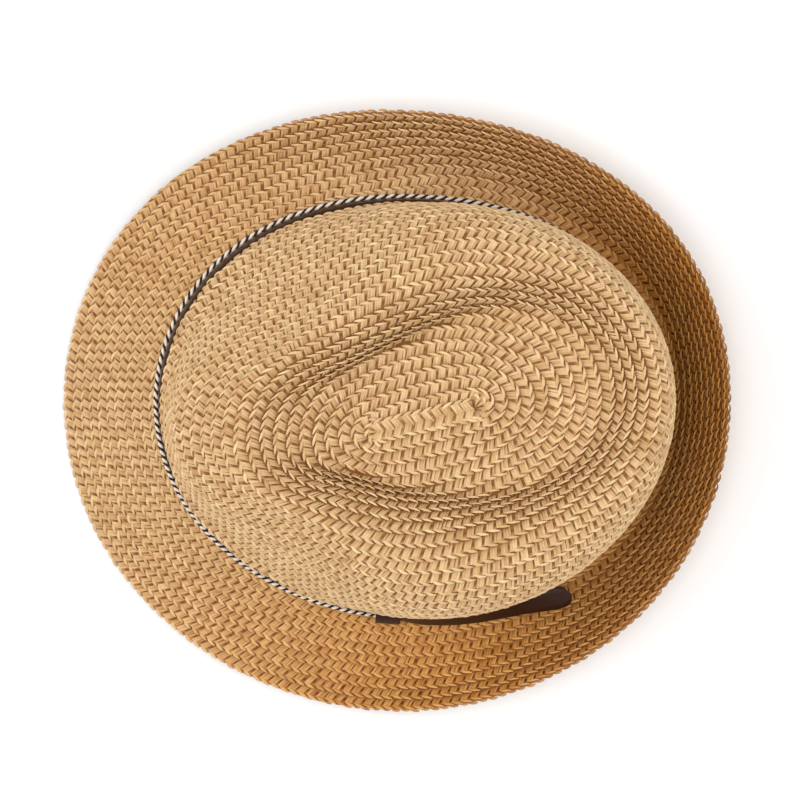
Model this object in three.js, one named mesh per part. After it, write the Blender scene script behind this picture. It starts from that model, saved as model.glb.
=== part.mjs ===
// Straw trilby with a teardrop crown, a leather strip and a two-colour twisted cord.
// Millimetres, +Z up. The hat rests by itself on the plane z = 0, crown up:
// its front points to -Y and the wearer's left to +X.
// The straw body is one smooth shell. It is described by rings that run around the hat,
// and each ring is given by its reach and its height in eight directions.
import * as THREE from 'three';

// Driving dimensions
const STRAW = 2.0;              // wall of sewn braid, two layers where the rows overlap
const LEATHER = 1.2;            // strip, keeper and strap end
const GAP = 0.3;                // clearance between neighbouring pieces
const BAND_FROM = 1.8;          // lower edge of the leather strip above the head line
const BAND_WIDTH = 10;          // height of the leather strip
const CORD_RADIUS = 1.0;
const CORD_UP = 1.3;            // middle of the cord above the head line
const KEEPER_WIDTH = 10.5;      // along the strip
const KEEPER_AT = 263.8;        // degrees around, near the wearer's left ear
const KEEPER_EASE = 0.75;       // room at its foot for the strap end, which leans outward

// The braid starts as a short straight seam in the floor of the dent.
const SEAM_MIDDLE = { x: 2.65, y: 13.6 };
const SEAM_HALF = 21;
const SEAM_TURN = THREE.MathUtils.degToRad(13);
const SEAM_BLEND = 34;          // reach at which rows stop being parallel to the seam
const SEAM_SHARPNESS = 3.2;

const COLUMNS = 64;             // facets around the hat

// Columns: back, back right, right, front right, front, front left, left, back left.
// reach is measured outward from the seam, height upward from the table.
const RINGS = [
  { ring: 'seam',   parts: 1, reach: [0, 0, 0, 0, 0, 0, 0, 0],
                    height: [79.5, 79.5, 79.5, 79.5, 79.5, 79.5, 79.5, 79.5] },
  { ring: 'floor',  parts: 2, reach: [18, 18, 17.5, 16, 18, 14, 14, 17.5],
                    height: [82, 81, 79.5, 79, 82, 79, 78.5, 80] },
  { ring: 'dome',   parts: 2, reach: [35, 35, 27, 22.5, 26, 18, 19.5, 29],
                    height: [83.5, 82, 79.5, 78.5, 85, 78.5, 78, 79.5] },
  { ring: 'foot',   parts: 2, reach: [51, 50, 36, 29.5, 34, 22, 24.5, 40],
                    height: [82, 80.5, 79, 77.5, 88, 77.5, 77, 78.5] },
  { ring: 'rise',   parts: 2, reach: [58.5, 57.5, 41, 35, 43, 28.5, 32, 47],
                    height: [87.5, 87.5, 87.5, 88, 91.5, 88, 88, 88] },
  { ring: 'lip',    parts: 2, reach: [65, 64, 48, 42.5, 51, 37, 41, 55],
                    height: [93, 94.5, 95, 96, 94.5, 96, 96, 95] },
  { ring: 'crest',  parts: 2, reach: [69.5, 69.5, 56, 49, 57, 44.5, 52, 63.5],
                    height: [95, 97, 98, 98.5, 94.5, 98.5, 98.5, 97] },
  { ring: 'fall',   parts: 2, reach: [74.5, 74.5, 69, 59.5, 68, 53.5, 64.5, 71.5],
                    height: [91.5, 93, 92.5, 86, 87, 86, 92.5, 92] },
  { ring: 'bend',   parts: 2, reach: [78, 79.5, 80.5, 74, 80, 63.5, 75, 79],
                    height: [82, 80, 80, 67.5, 76, 69, 78, 80] },
  { ring: 'side',   parts: 3, reach: [80, 82, 86, 88, 85, 74, 79, 82],
                    height: [56, 58, 62, 48, 54, 46, 58, 58] },
  { ring: 'collar', parts: 3, reach: [79.5, 83, 87.7, 96, 87.2, 77.5, 79, 81],
                    height: [19, 21, 29, 38.5, 43, 38, 30, 22] },
  { ring: 'head',   parts: 2, reach: [79, 83, 89.2, 98.5, 88.2, 78, 79, 80],
                    height: [6, 8, 16, 25.5, 30, 25, 17, 9] },
  { ring: 'root',   parts: 2, reach: [82.5, 87, 93.8, 103, 93.2, 82.5, 83.5, 84],
                    height: [2.2, 3.2, 13.8, 22.8, 27.5, 22.3, 14.2, 4] },
  { ring: 'belly',  parts: 3, reach: [86, 91.5, 101.5, 112, 101.5, 91, 89, 89.5],
                    height: [1.6, 1.6, 12.5, 17.5, 22.2, 17.3, 9.8, 1.6] },
  { ring: 'middle', parts: 3, reach: [91.5, 98.5, 110, 122, 112, 101.5, 99.5, 97],
                    height: [10, 8, 17.5, 13.5, 15.2, 12.5, 8.8, 6.5] },
  { ring: 'curl',   parts: 2, reach: [97.5, 104.7, 117.5, 131.5, 122, 112, 110.5, 105],
                    height: [22.5, 19.5, 25.5, 12, 8.4, 8, 10.8, 16.5] },
  { ring: 'edge',   parts: 2, reach: [104, 111.5, 124, 141, 132.5, 122.5, 120.6, 113],
                    height: [37, 32, 35, 11.5, 1.6, 4, 16, 29] },
];
const ringNumber = name => RINGS.findIndex(row => row.ring === name);
const HEAD = ringNumber('head');
const COLLAR = ringNumber('collar');
const EDGE = ringNumber('edge');

// Free end of the leather strip, from inside the keeper backward.
// along: distance from the middle of the keeper; out and up: the strap's middle line,
// measured from the head line; lean: how far its face has turned up, degrees.
// It gets a little wider toward its rounded tip.
const STRAP = [
  { along: -4.5,  out: 2.86, up: 7.5, lean: 6.5,  width: 9.2 },
  { along: 5.5,   out: 3.04, up: 7.4, lean: 9,    width: 9.2 },
  { along: 9.5,   out: 3.6,  up: 7.1, lean: 15,   width: 9.2 },
  { along: 13,    out: 4,    up: 6.9, lean: 19,   width: 9.2 },
  { along: 21,    out: 4.5,  up: 6.3, lean: 25.5, width: 9.4 },
  { along: 36.5,  out: 5.5,  up: 5.4, lean: 35,   width: 9.8 },
  { along: 44.6,  out: 5.9,  up: 5,   lean: 41,   width: 10.2 },
  { along: 52.4,  out: 6.6,  up: 4.2, lean: 50,   width: 10.5 },
  { along: 59.8,  out: 8.2,  up: 2.6, lean: 61,   width: 10.6 },
  { along: 66.8,  out: 10.5, up: 0.3, lean: 72,   width: 10.7 },
  { along: 73.8,  out: 12.7, up: -0.9, lean: 80,   width: 10.8 },
];
const STRAP_STEPS = 22;

const straw = new THREE.MeshStandardMaterial({ color: 0xc99f6e, roughness: 0.75, metalness: 0 });
const leather = new THREE.MeshStandardMaterial({ color: 0x3d2219, roughness: 0.55, metalness: 0 });
const cordYarn = new THREE.MeshStandardMaterial({ color: 0x8f8272, roughness: 0.8, metalness: 0 });

// Smooth closed curve of one value around the hat, through eight equally spaced values.
function around(values) {
  const count = values.length;
  const at = k => values[(k + count) % count];
  const slopes = values.map(() => 0);
  for (let pass = 0; pass < 24; pass++) {
    for (let k = 0; k < count; k++) {
      const neighbours = slopes[(k + 1) % count] + slopes[(k + count - 1) % count];
      slopes[k] = (3 * (at(k + 1) - at(k - 1)) - neighbours) / 4;
    }
  }
  return angle => {
    const place = THREE.MathUtils.euclideanModulo(angle / (2 * Math.PI), 1) * count;
    const k = Math.floor(place) % count;
    const t = place - Math.floor(place);
    const next = (k + 1) % count;
    return at(k) * (1 + 2 * t) * (1 - t) ** 2 + slopes[k] * t * (1 - t) ** 2
      + at(next) * t * t * (3 - 2 * t) + slopes[next] * t * t * (t - 1);
  };
}
const ringCurves = RINGS.map(row => ({ reach: around(row.reach), height: around(row.height) }));

// Profile of the hat in one direction: x is the reach, y is the height.
const profiles = new Map();
function profile(angle) {
  if (!profiles.has(angle)) {
    const points = ringCurves.map(c => new THREE.Vector3(c.reach(angle), c.height(angle), 0));
    profiles.set(angle, new THREE.CatmullRomCurve3(points, false, 'centripetal'));
  }
  return profiles.get(angle);
}

// Point of the outer face of the straw. ring is a ring's number and a fraction.
function body(angle, ring) {
  const { x: reach, y: height } = profile(angle).getPoint(ring / EDGE);
  const across = Math.cos(angle - SEAM_TURN);
  const blunt = Math.tanh(SEAM_SHARPNESS * across) / Math.tanh(SEAM_SHARPNESS);
  const slide = THREE.MathUtils.lerp(blunt, across, THREE.MathUtils.smoothstep(reach, 0, SEAM_BLEND));
  const seam = SEAM_HALF * slide;
  return new THREE.Vector3(
    SEAM_MIDDLE.x - seam * Math.sin(SEAM_TURN) - reach * Math.sin(angle),
    SEAM_MIDDLE.y + seam * Math.cos(SEAM_TURN) + reach * Math.cos(angle),
    height);
}

// Unit normal of the straw, pointing out of the hat.
function bodyNormal(angle, ring) {
  const turn = 0.01;
  const step = 0.02;
  if (ring < step) return new THREE.Vector3(0, 0, 1);
  const low = Math.max(ring - step, 0);
  const high = Math.min(ring + step, EDGE);
  const outward = body(angle, high).sub(body(angle, low));
  const sideways = body(angle + turn, ring).sub(body(angle - turn, ring));
  return outward.cross(sideways).normalize();
}

const columnAngle = column => SEAM_TURN + (column * 2 * Math.PI) / COLUMNS;

// Closed mesh from a list of points and a list of triangles.
function solid(name, points, triangles, material) {
  const geometry = new THREE.BufferGeometry();
  geometry.setAttribute('position', new THREE.Float32BufferAttribute(points.flatMap(p => p.toArray()), 3));
  geometry.setIndex(triangles.flat());
  geometry.computeVertexNormals();
  const mesh = new THREE.Mesh(geometry, material);
  mesh.name = name;
  return mesh;
}

// Ring numbers of the rows of facets from one ring to another, ends included.
function stations(from, to) {
  const list = [from];
  for (let ring = Math.floor(from) + 1; ring <= Math.ceil(to); ring++) {
    const parts = RINGS[ring].parts;
    for (let part = 1; part <= parts; part++) {
      const station = ring - 1 + part / parts;
      if (station > from + 0.1 && station < to - 0.1) list.push(station);
    }
  }
  list.push(to);
  return list;
}

// Shell of braid between two rings. Its inner face lies STRAW inside the outer one,
// and nothing reaches below the table.
function strawShell(name, from, to) {
  const rows = stations(from, to);
  const points = [];
  const seamed = from === 0;
  const place = (side, row, column) => {
    const wrapped = (column + COLUMNS) % COLUMNS;
    const own = seamed && row === 0 ? Math.min(wrapped, COLUMNS - wrapped) : wrapped;
    return (side * rows.length + row) * COLUMNS + own;
  };
  for (const side of [0, 1]) {
    for (const ring of rows) {
      for (let column = 0; column < COLUMNS; column++) {
        const angle = columnAngle(column);
        const point = body(angle, ring).addScaledVector(bodyNormal(angle, ring), -side * STRAW);
        point.z = Math.max(point.z, 0);
        points.push(point);
      }
    }
  }
  const triangles = [];
  const quad = (a, b, c, d) => {
    for (const corners of [[a, b, c], [a, c, d]]) {
      if (new Set(corners).size === 3) triangles.push(corners);
    }
  };
  for (let column = 0; column < COLUMNS; column++) {
    const next = column + 1;
    for (let row = 1; row < rows.length; row++) {
      quad(place(0, row - 1, column), place(0, row, column), place(0, row, next), place(0, row - 1, next));
      quad(place(1, row - 1, column), place(1, row - 1, next), place(1, row, next), place(1, row, column));
    }
    const last = rows.length - 1;
    quad(place(0, last, column), place(1, last, column), place(1, last, next), place(0, last, next));
    if (!seamed) {
      quad(place(0, 0, column), place(0, 0, next), place(1, 0, next), place(1, 0, column));
    }
  }
  return solid(name, ...compact(points, triangles), straw);
}

// Leaves out the points that no triangle uses.
function compact(points, triangles) {
  const used = [...new Set(triangles.flat())];
  const renumber = new Map(used.map((old, k) => [old, k]));
  return [used.map(k => points[k]), triangles.map(t => t.map(k => renumber.get(k)))];
}

// Place beside the foot of the crown: up along the wall and out from it.
function beside(angle, up, out) {
  const turn = 0.01;
  const foot = body(angle, HEAD);
  const wall = body(angle, COLLAR).sub(foot).normalize();
  const forward = body(angle + turn, HEAD).sub(body(angle - turn, HEAD)).normalize();
  const outward = new THREE.Vector3().crossVectors(forward, wall).normalize();
  return { foot, wall, forward, outward, point: foot.clone().addScaledVector(wall, up).addScaledVector(outward, out) };
}

// Solid swept through cross-sections that all have the same number of corners, in order.
// Each section runs anticlockwise as seen looking back along the sweep.
function swept(name, sections, closed, material) {
  const size = sections[0].length;
  const points = sections.flat();
  const triangles = [];
  const spans = closed ? sections.length : sections.length - 1;
  for (let s = 0; s < spans; s++) {
    const here = s * size;
    const there = ((s + 1) % sections.length) * size;
    for (let k = 0; k < size; k++) {
      const n = (k + 1) % size;
      triangles.push([here + k, here + n, there + n], [here + k, there + n, there + k]);
    }
  }
  if (!closed) {
    const end = (sections.length - 1) * size;
    const outline = sections[0].map((p, k) => sectionPlane(sections[0], k));
    const clockwise = THREE.ShapeUtils.isClockWise(outline);
    for (const corners of THREE.ShapeUtils.triangulateShape(outline, [])) {
      const [a, b, c] = clockwise ? [...corners].reverse() : corners;
      triangles.push([c, b, a], [end + a, end + b, end + c]);
    }
  }
  return solid(name, points, triangles, material);
}

// Corner k of a section in the section's own plane, for filling the ends.
function sectionPlane(section, k) {
  const origin = section[0];
  const first = section[1].clone().sub(origin).normalize();
  const spare = section[2].clone().sub(origin);
  const second = spare.addScaledVector(first, -spare.dot(first)).normalize();
  const rest = section[k].clone().sub(origin);
  return new THREE.Vector2(rest.dot(first), rest.dot(second));
}

// Leather strip around the foot of the crown, a closed loop.
function leatherBand() {
  const heights = [BAND_FROM, BAND_FROM + BAND_WIDTH / 2, BAND_FROM + BAND_WIDTH];
  const sections = [];
  for (let column = 0; column < COLUMNS; column++) {
    const angle = columnAngle(column);
    const inner = heights.map(up => beside(angle, up, GAP).point);
    const outer = heights.map(up => beside(angle, up, GAP + LEATHER).point).reverse();
    sections.push([...inner, ...outer]);
  }
  return swept('leather_band', sections, true, leather);
}

// Cord that lies along the lower edge of the strip.
function trimCord() {
  const sides = 8;
  const out = 2 * GAP + LEATHER + CORD_RADIUS;
  const sections = [];
  for (let column = 0; column < COLUMNS; column++) {
    const { point, wall, outward } = beside(columnAngle(column), CORD_UP, out);
    const section = [];
    for (let side = 0; side < sides; side++) {
      const turn = -(side * 2 * Math.PI) / sides;
      section.push(point.clone()
        .addScaledVector(outward, CORD_RADIUS * Math.cos(turn))
        .addScaledVector(wall, CORD_RADIUS * Math.sin(turn)));
    }
    sections.push(section);
  }
  return swept('trim_cord', sections, true, cordYarn);
}

// Leather loop that holds the strip, the cord and the strap end together.
// It is open toward the straw, where the strip hides it.
function keeper() {
  const cordOuter = 2 * GAP + LEATHER + 2 * CORD_RADIUS + KEEPER_EASE;
  const strapOuter = 2 * GAP + 2 * LEATHER;
  const top = BAND_FROM + BAND_WIDTH + 2 * GAP;
  const bottom = CORD_UP - CORD_RADIUS - GAP;
  const inner = GAP + LEATHER;
  const outline = [
    { out: GAP, up: top }, { out: strapOuter + GAP, up: top },
    { out: cordOuter + GAP, up: bottom }, { out: inner + GAP, up: bottom },
    { out: inner + GAP, up: bottom - LEATHER }, { out: cordOuter + GAP + LEATHER, up: bottom - LEATHER },
    { out: strapOuter + GAP + LEATHER, up: top + LEATHER }, { out: GAP, up: top + LEATHER },
  ];
  const { foot, wall, forward, outward } = beside(THREE.MathUtils.degToRad(KEEPER_AT), 0, 0);
  const sections = [0.5, -0.5].map(end => outline.map(({ out, up }) => foot.clone()
    .addScaledVector(forward, end * KEEPER_WIDTH)
    .addScaledVector(outward, out)
    .addScaledVector(wall, up)));
  return swept('keeper', sections, false, leather);
}

// Angle around the hat at a distance along the head line, backward from the keeper's middle.
function angleAlong(distance) {
  const step = Math.sign(distance) * 0.01;
  let angle = THREE.MathUtils.degToRad(KEEPER_AT);
  let left = Math.abs(distance);
  while (left > 0) {
    const stride = body(angle, HEAD).distanceTo(body(angle + step, HEAD));
    angle += step * Math.min(left / stride, 1);
    left -= stride;
  }
  return angle;
}

// Free end of the strip. It leaves the keeper flat against the strip and turns its face up.
function strapEnd() {
  const keys = ['along', 'out', 'up', 'lean', 'width'];
  const curve = key => new THREE.CatmullRomCurve3(
    STRAP.map(row => new THREE.Vector3(row.along, row[key], 0)), false, 'centripetal');
  const curves = Object.fromEntries(keys.slice(1).map(key => [key, curve(key)]));
  const length = STRAP[STRAP.length - 1].along;
  const sections = [];
  for (let step = 0; step <= STRAP_STEPS; step++) {
    const t = step / STRAP_STEPS;
    const values = Object.fromEntries(Object.entries(curves).map(([key, c]) => [key, c.getPoint(t)]));
    const along = values.out.x;
    const lean = THREE.MathUtils.degToRad(values.lean.y);
    const left = Math.max(length - along, 0);
    const tip = values.width.y / 2;
    const half = left < tip ? Math.sqrt(Math.max(tip * tip - (tip - left) ** 2, 0.36)) : tip;
    const { point, wall, outward } = beside(angleAlong(along), values.up.y, values.out.y);
    const across = wall.clone().multiplyScalar(Math.cos(lean)).addScaledVector(outward, -Math.sin(lean));
    const face = outward.clone().multiplyScalar(Math.cos(lean)).addScaledVector(wall, Math.sin(lean));
    sections.push([[-1, -1], [1, -1], [1, 1], [-1, 1]].map(([a, f]) => point.clone()
      .addScaledVector(across, a * half)
      .addScaledVector(face, (f * LEATHER) / 2)));
  }
  return swept('strap_end', sections, false, leather);
}

const hat = new THREE.Group();
const slit = GAP / 2;
const wallLength = body(0, COLLAR).distanceTo(body(0, HEAD));
const rootLength = body(0, HEAD).distanceTo(body(0, HEAD + 1));
hat.add(strawShell('crown', 0, HEAD - slit / wallLength));
hat.add(strawShell('brim', HEAD + slit / rootLength, EDGE));
hat.add(leatherBand());
hat.add(trimCord());
hat.add(keeper());
hat.add(strapEnd());

export default hat;
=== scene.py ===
# %% [markdown]
# # A straw trilby, seen from above
# A hat like this is one long plaited straw braid. It is sewn round and round from the middle
# of the crown, each turn overlapping the one outside it, and is then steamed over a block into
# a teardrop crown and a short brim. A leather strip and a twisted cord go around the crown.
#
# The straw could be a bumpy material on a smooth hat, which is quick, but its rim would be a
# clean line and its plait would look printed. Here every splint of straw is a small ribbon of
# its own, made once for one stitch and copied several thousand times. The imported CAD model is
# loaded first, because everything is fitted to it.

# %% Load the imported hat
import math
import bpy
import numpy as np
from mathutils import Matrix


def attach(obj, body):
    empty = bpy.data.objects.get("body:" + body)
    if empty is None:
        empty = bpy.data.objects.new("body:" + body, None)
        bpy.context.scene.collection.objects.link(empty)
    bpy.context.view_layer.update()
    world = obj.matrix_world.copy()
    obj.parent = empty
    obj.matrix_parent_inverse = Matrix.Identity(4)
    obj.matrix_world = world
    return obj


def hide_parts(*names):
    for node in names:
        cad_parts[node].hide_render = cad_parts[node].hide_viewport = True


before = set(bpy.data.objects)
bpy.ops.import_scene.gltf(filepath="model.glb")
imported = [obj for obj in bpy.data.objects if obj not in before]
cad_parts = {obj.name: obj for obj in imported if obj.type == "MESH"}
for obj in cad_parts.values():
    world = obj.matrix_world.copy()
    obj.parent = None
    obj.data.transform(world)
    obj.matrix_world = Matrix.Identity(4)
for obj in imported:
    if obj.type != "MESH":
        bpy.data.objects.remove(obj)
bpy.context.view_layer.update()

# %% [markdown]
# ## Camera
# The picture of the hat is taken from straight above, with the front of the hat to the left.
# A camera could be placed by eye and nudged until it looks right. This one is worked out: it
# hangs 1.24 m above the table and looks straight down, and its lens is the one that gives a
# 336 mm wide view at the level of the brim. A quarter turn about the vertical puts +Y on the
# right.

# %% Camera
MM = 0.001
CAMERA_PLACE = (-5.36, 3.07, 1240.0)
PHOTO_WIDTH = 336.0
PHOTO_DISTANCE = 1225.0

camera_data = bpy.data.cameras.new("camera")
camera_data.sensor_width = 36.0
camera_data.lens = 36.0 * PHOTO_DISTANCE / PHOTO_WIDTH
camera_data.clip_start = 0.05
camera_data.clip_end = 20.0
camera = bpy.data.objects.new("camera", camera_data)
camera.location = [c * MM for c in CAMERA_PLACE]
camera.rotation_euler = (0.0, 0.0, math.pi / 2)
bpy.context.scene.collection.objects.link(camera)
bpy.context.scene.camera = camera
print("lens", round(camera_data.lens, 1), "mm")

# %% [markdown]
# ## The shape of the body
# The body is a smooth sheet that runs from a short seam in the floor of the dent, up over the
# crest, down the wall and out to the edge of the brim. A hatter presses it over a wooden block.
# It could be sculpted, or wrapped onto the CAD mesh, but that mesh has flat faces that would
# show through the braid. So the sheet is described by rings around the hat. Each ring has a
# reach and a height in eight directions, which is enough for the teardrop, the two front
# pinches and a brim that dips in front and turns up behind. The same numbers make the CAD
# solids, so the braid lies on them.

# %% Rings, in millimetres
# Columns: back, back right, right, front right, front, front left, left, back left.
RINGS = [
    ("seam", [0, 0, 0, 0, 0, 0, 0, 0],
     [79.5, 79.5, 79.5, 79.5, 79.5, 79.5, 79.5, 79.5]),
    ("floor", [18, 18, 17.5, 16, 18, 14, 14, 17.5],
     [82, 81, 79.5, 79, 82, 79, 78.5, 80]),
    ("dome", [35, 35, 27, 22.5, 26, 18, 19.5, 29],
     [83.5, 82, 79.5, 78.5, 85, 78.5, 78, 79.5]),
    ("foot", [51, 50, 36, 29.5, 34, 22, 24.5, 40],
     [82, 80.5, 79, 77.5, 88, 77.5, 77, 78.5]),
    ("rise", [58.5, 57.5, 41, 35, 43, 28.5, 32, 47],
     [87.5, 87.5, 87.5, 88, 91.5, 88, 88, 88]),
    ("lip", [65, 64, 48, 42.5, 51, 37, 41, 55],
     [93, 94.5, 95, 96, 94.5, 96, 96, 95]),
    ("crest", [69.5, 69.5, 56, 49, 57, 44.5, 52, 63.5],
     [95, 97, 98, 98.5, 94.5, 98.5, 98.5, 97]),
    ("fall", [74.5, 74.5, 69, 59.5, 68, 53.5, 64.5, 71.5],
     [91.5, 93, 92.5, 86, 87, 86, 92.5, 92]),
    ("bend", [78, 79.5, 80.5, 74, 80, 63.5, 75, 79],
     [82, 80, 80, 67.5, 76, 69, 78, 80]),
    ("side", [80, 82, 86, 88, 85, 74, 79, 82],
     [56, 58, 62, 48, 54, 46, 58, 58]),
    ("collar", [79.5, 83, 87.7, 96, 87.2, 77.5, 79, 81],
     [19, 21, 29, 38.5, 43, 38, 30, 22]),
    ("head", [79, 83, 89.2, 98.5, 88.2, 78, 79, 80],
     [6, 8, 16, 25.5, 30, 25, 17, 9]),
    ("root", [82.5, 87, 93.8, 103, 93.2, 82.5, 83.5, 84],
     [2.2, 3.2, 13.8, 22.8, 27.5, 22.3, 14.2, 4]),
    ("belly", [86, 91.5, 101.5, 112, 101.5, 91, 89, 89.5],
     [1.6, 1.6, 12.5, 17.5, 22.2, 17.3, 9.8, 1.6]),
    ("middle", [91.5, 98.5, 110, 122, 112, 101.5, 99.5, 97],
     [10, 8, 17.5, 13.5, 15.2, 12.5, 8.8, 6.5]),
    ("curl", [97.5, 104.7, 117.5, 131.5, 122, 112, 110.5, 105],
     [22.5, 19.5, 25.5, 12, 8.4, 8, 10.8, 16.5]),
    ("edge", [104, 111.5, 124, 141, 132.5, 122.5, 120.6, 113],
     [37, 32, 35, 11.5, 1.6, 4, 16, 29]),
]
NAMES = [row[0] for row in RINGS]
SEAM_MIDDLE = np.array([2.65, 13.6])
SEAM_HALF = 21.0
SEAM_TURN = math.radians(13)
SEAM_BLEND = 34.0
SEAM_SHARPNESS = 3.2
TAU = 2 * math.pi
print(len(RINGS), "rings")

# %% [markdown]
# ## Curves through the rings
# Between the given numbers the hat has to be smooth in both directions. A subdivision surface
# would pull away from the numbers. These curves pass through every one of them: one kind runs
# around the hat through the eight directions, and the other runs outward from ring to ring.

# %% Smooth curves through the rings
def around(values, angle):
    """Smooth closed curve through eight equally spaced values, read at any angles."""
    y = np.array(values, float)
    slopes = np.zeros(8)
    for _ in range(24):
        for k in range(8):
            near = slopes[(k + 1) % 8] + slopes[k - 1]
            slopes[k] = (3 * (y[(k + 1) % 8] - y[k - 1]) - near) / 4
    place = np.mod(np.asarray(angle, float) / TAU, 1) * 8
    k = np.floor(place).astype(int) % 8
    t = place - np.floor(place)
    n = (k + 1) % 8
    start = y[k] * (1 + 2 * t) * (1 - t) ** 2 + slopes[k] * t * (1 - t) ** 2
    return start + y[n] * t * t * (3 - 2 * t) + slopes[n] * t * t * (t - 1)


def plan(angle, reach):
    """Where a reach lies as seen from above. Near the seam the rows run parallel to it."""
    across = np.cos(angle - SEAM_TURN)
    blunt = np.tanh(SEAM_SHARPNESS * across) / math.tanh(SEAM_SHARPNESS)
    w = np.clip(reach / SEAM_BLEND, 0, 1)
    w = w * w * (3 - 2 * w)
    seam = SEAM_HALF * (blunt * (1 - w) + across * w)
    x = SEAM_MIDDLE[0] - seam * math.sin(SEAM_TURN) - reach * np.sin(angle)
    y = SEAM_MIDDLE[1] + seam * math.cos(SEAM_TURN) + reach * np.cos(angle)
    return x, y


def profiles(angles, per_ring):
    """Reach and height along the body in each direction: a centripetal spline, many points."""
    knots = np.array([[around(r[1], angles), around(r[2], angles)] for r in RINGS])
    knots = knots.transpose(2, 0, 1)
    before = 2 * knots[:, :1] - knots[:, 1:2]
    after = 2 * knots[:, -1:] - knots[:, -2:-1]
    q = np.concatenate([before, knots, after], axis=1)
    gap = np.sqrt(np.linalg.norm(np.diff(q, axis=1), axis=2))[..., None]
    d0, d1, d2 = gap[:, :-2], gap[:, 1:-1], gap[:, 2:]
    p0, p1, p2, p3 = q[:, :-3], q[:, 1:-2], q[:, 2:-1], q[:, 3:]
    m1 = ((p1 - p0) / d0 - (p2 - p0) / (d0 + d1) + (p2 - p1) / d1) * d1
    m2 = ((p2 - p1) / d1 - (p3 - p1) / (d1 + d2) + (p3 - p2) / d2) * d1
    t = np.linspace(0, 1, per_ring, endpoint=False)[:, None]
    p1, p2, m1, m2 = (a[:, :, None, :] for a in (p1, p2, m1, m2))
    curve = (p1 * (1 + 2 * t) * (1 - t) ** 2 + m1 * t * (1 - t) ** 2
             + p2 * t * t * (3 - 2 * t) + m2 * t * t * (t - 1))
    curve = curve.reshape(len(angles), -1, 2)
    return np.concatenate([curve, knots[:, -1:]], axis=1)


# %% [markdown]
# ## A map of the body by distance
# A braid is equally wide everywhere, so it is laid out by distance along the sheet and not by
# ring. UV coordinates could say where the rows go, but they stretch where the sheet bends. This
# map is a table instead. It holds the place and the outward direction for each direction around
# the hat and each distance from the seam, half a millimetre apart, and is read between points.

# %% The map
STEP = 0.5
ANGLES = 720
map_angles = np.arange(ANGLES) * TAU / ANGLES
dense = profiles(map_angles, 24)
lengths = np.concatenate([np.zeros((ANGLES, 1)), np.cumsum(
    np.linalg.norm(np.diff(dense, axis=1), axis=2), axis=1)], axis=1)
head_length = lengths[:, 24 * NAMES.index("head")]
total_length = lengths[:, -1]
marks = np.arange(0, total_length.max() + 3, STEP)
sheet_map = np.zeros((ANGLES, len(marks), 3))
for k in range(ANGLES):
    stretch = np.minimum(marks, total_length[k])
    reach = np.interp(stretch, lengths[k], dense[k, :, 0])
    height = np.interp(stretch, lengths[k], dense[k, :, 1])
    x, y = plan(map_angles[k], reach)
    past = marks - stretch
    last = dense[k, -1] - dense[k, -3]
    last = last / np.linalg.norm(last)
    sheet_map[k, :, 0] = x - past * last[0] * math.sin(map_angles[k])
    sheet_map[k, :, 1] = y + past * last[0] * math.cos(map_angles[k])
    sheet_map[k, :, 2] = height + past * last[1]
along = np.gradient(sheet_map, axis=1)
sideways = np.roll(sheet_map, -1, axis=0) - np.roll(sheet_map, 1, axis=0)
normal_map = np.cross(along, sideways)
normal_map /= np.linalg.norm(normal_map, axis=2, keepdims=True) + 1e-9
normal_map[:, :4] = (0, 0, 1)
print("map", sheet_map.shape, "edge is", total_length.min().round(), "to",
      total_length.max().round(), "mm from the seam")


# %% [markdown]
# ## Reading the map
# A splint's points fall between the points of the table. Taking the nearest one would give
# small steps, so a value is mixed from the four around it. The same reader serves places,
# directions and single numbers, such as how far out the foot of the crown lies.

# %% Reading the map
def read_map(table, angle, distance):
    """Values of a map between its points."""
    a = np.mod(angle / TAU, 1) * ANGLES
    s = np.clip(distance / STEP, 0, len(marks) - 1.001)
    ia, js = np.floor(a).astype(int), np.floor(s).astype(int)
    fa, fs = a - ia, s - js
    ia %= ANGLES
    ib = (ia + 1) % ANGLES
    if table.ndim == 1:
        return table[ia] * (1 - fa) + table[ib] * fa
    fa, fs = fa[..., None], fs[..., None]
    near = table[ia, js] * (1 - fs) + table[ia, js + 1] * fs
    far = table[ib, js] * (1 - fs) + table[ib, js + 1] * fs
    return near * (1 - fa) + far * fa


def head_at(angle):
    return read_map(head_length, angle, np.zeros_like(angle))


def edge_at(angle):
    return read_map(total_length, angle, np.zeros_like(angle))


print("head opening starts", head_at(np.array([0.0, math.pi])).round(1), "mm out, back and front")

# %% [markdown]
# ## Straw above the strip
# The leather strip is pulled tight, and just above it the straw swells out a little and hides
# part of the leather from above. The swell is under 2 mm high, so it could be left out or made
# with bump. It is real here, because it moves the line where straw and leather meet.

# %% Points on the body
# Columns: degrees around the hat, how far the straw swells out in mm.
SWELL = np.array([(70, 0), (100, 0.8), (180, 0.9), (205, 1.7), (248, 1.7), (262, 0)])
SWELL_UP = 14.5
SWELL_WIDTH = 3.2


def on_body(angle, distance, lift):
    """Points at a lift above the body's outer face."""
    n = read_map(normal_map, angle, distance)
    n = n / np.linalg.norm(n, axis=-1, keepdims=True)
    above = (head_at(angle) - distance - SWELL_UP) / SWELL_WIDTH
    swell = np.interp(np.degrees(np.mod(angle, TAU)), SWELL[:, 0], SWELL[:, 1])
    lift = lift + swell * np.exp(-above ** 2)
    return read_map(sheet_map, angle, distance) + n * lift[..., None]


print("straw swells out by up to", SWELL[:, 1].max(), "mm")

# %% [markdown]
# ## Meshes from arrays
# The braid has several hundred thousand faces. Added one at a time with bmesh they would take
# minutes. Blender also takes whole arrays of points and faces in one call, which takes a
# moment. Numbers for each point, such as a splint's tone, go in as named attributes, and the
# materials read them by name.

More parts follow.
